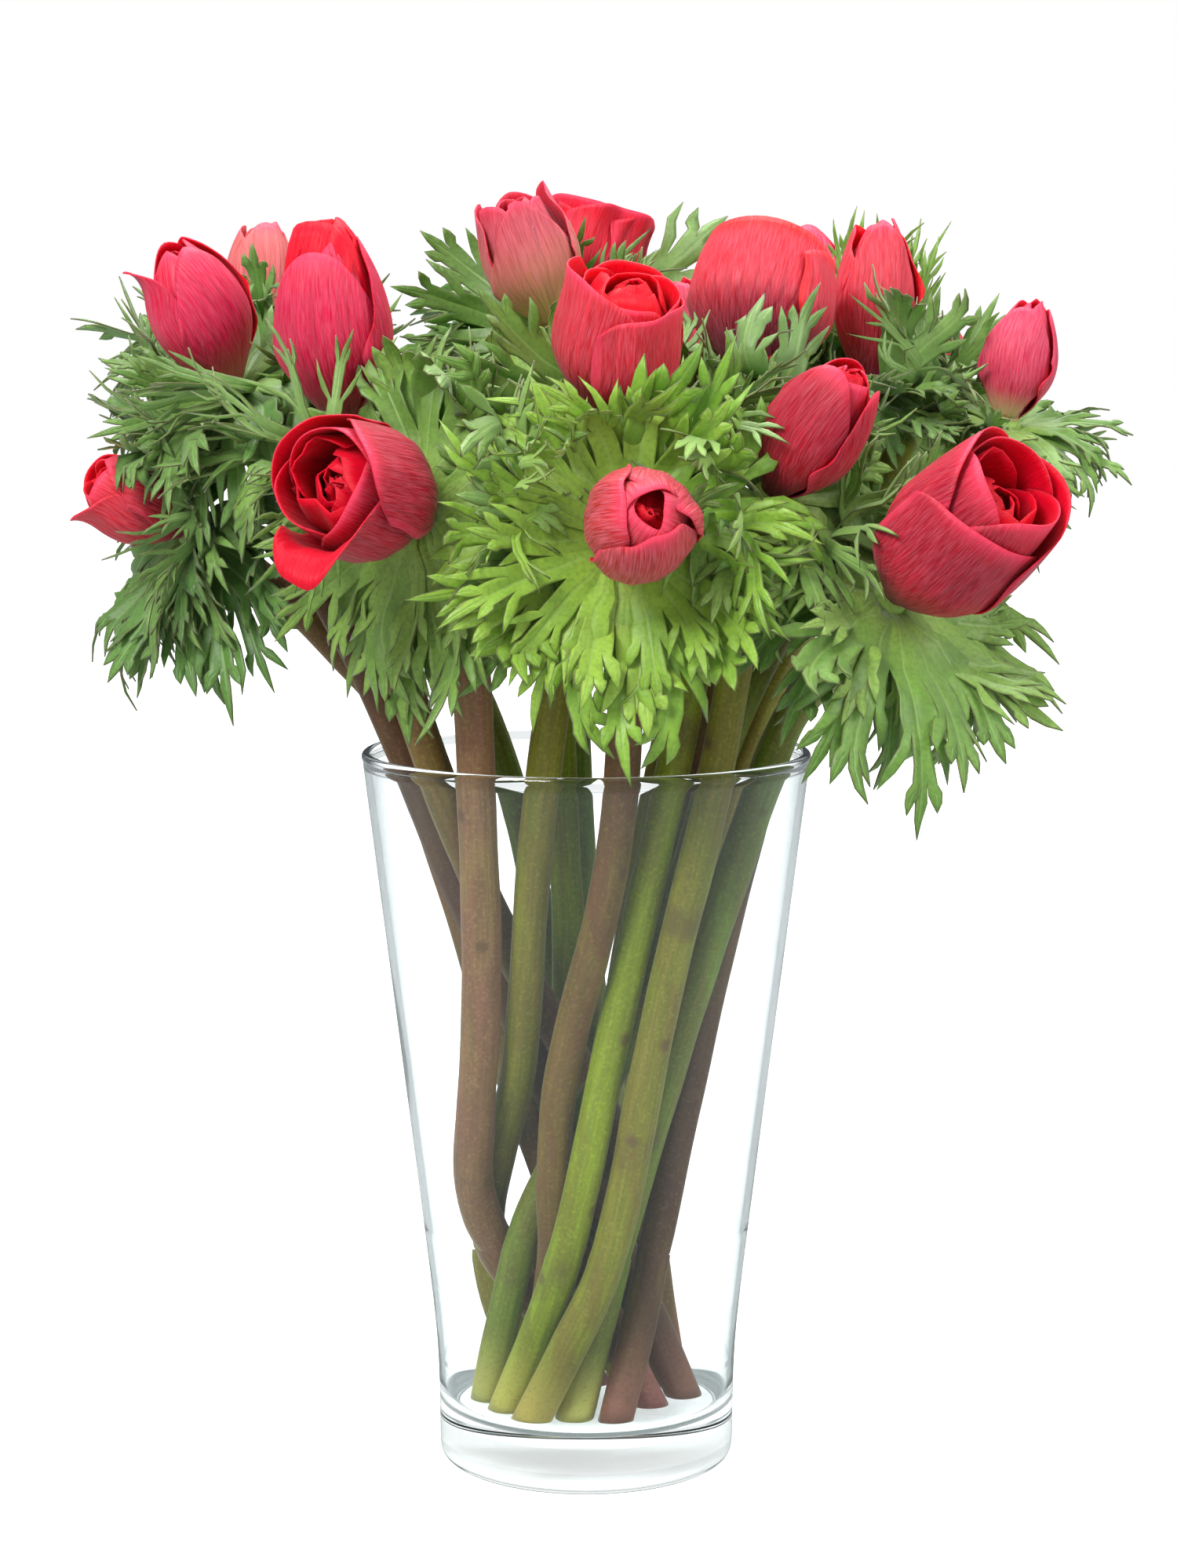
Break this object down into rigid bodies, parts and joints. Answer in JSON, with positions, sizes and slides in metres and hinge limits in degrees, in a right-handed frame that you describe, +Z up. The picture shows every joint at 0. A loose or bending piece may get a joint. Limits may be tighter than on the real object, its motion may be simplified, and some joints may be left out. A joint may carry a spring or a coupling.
{
  "type": "vase of cut anemones",
  "caption": "Bunch of red anemones with cut leaf collars and thick stems, standing in water in a tall, slightly conical clear glass vase with a thick base.",
  "frame": {"origin": "middle of the underside of the vase, on the surface it stands on", "axes": "+Z up along the vase, -Y towards the front of the bunch as the picture shows it, +X to the picture's right"},
  "size_m": [0.2778, 0.2159, 0.3424],
  "materials": {
    "glass": "clear polished",
    "water": "clear liquid",
    "stem": "downy",
    "leaf": "matt, veined",
    "petal": "satin, fine striations"
  },
  "bodies": {
    "root": {"vase": "glass", "water": "water", "stem_01": "stem", "collar_01": "leaf", "bloom_01": "petal", "stem_02": "stem", "collar_02": "leaf", "bloom_02": "petal", "stem_03": "stem", "collar_03": "leaf", "bloom_03": "petal", "stem_04": "stem", "collar_04": "leaf", "bloom_04": "petal", "stem_05": "stem", "collar_05": "leaf", "bloom_05": "petal", "stem_06": "stem", "collar_06": "leaf", "bloom_06": "petal", "stem_07": "stem", "collar_07": "leaf", "bloom_07": "petal", "stem_08": "stem", "collar_08": "leaf", "bloom_08": "petal", "stem_09": "stem", "collar_09": "leaf", "bloom_09": "petal", "stem_10": "stem", "collar_10": "leaf", "bloom_10": "petal", "stem_11": "stem", "collar_11": "leaf", "bloom_11": "petal", "stem_12": "stem", "collar_12": "leaf", "bloom_12": "petal", "stem_13": "stem", "collar_13": "leaf", "bloom_13": "petal", "stem_14": "stem", "collar_14": "leaf", "bloom_14": "petal", "stem_15": "stem", "collar_15": "leaf", "bloom_15": "petal", "stem_16": "stem", "collar_16": "leaf", "bloom_16": "petal", "stem_17": "stem", "collar_17": "leaf", "bloom_17": "petal"}
  },
  "joints": []
}
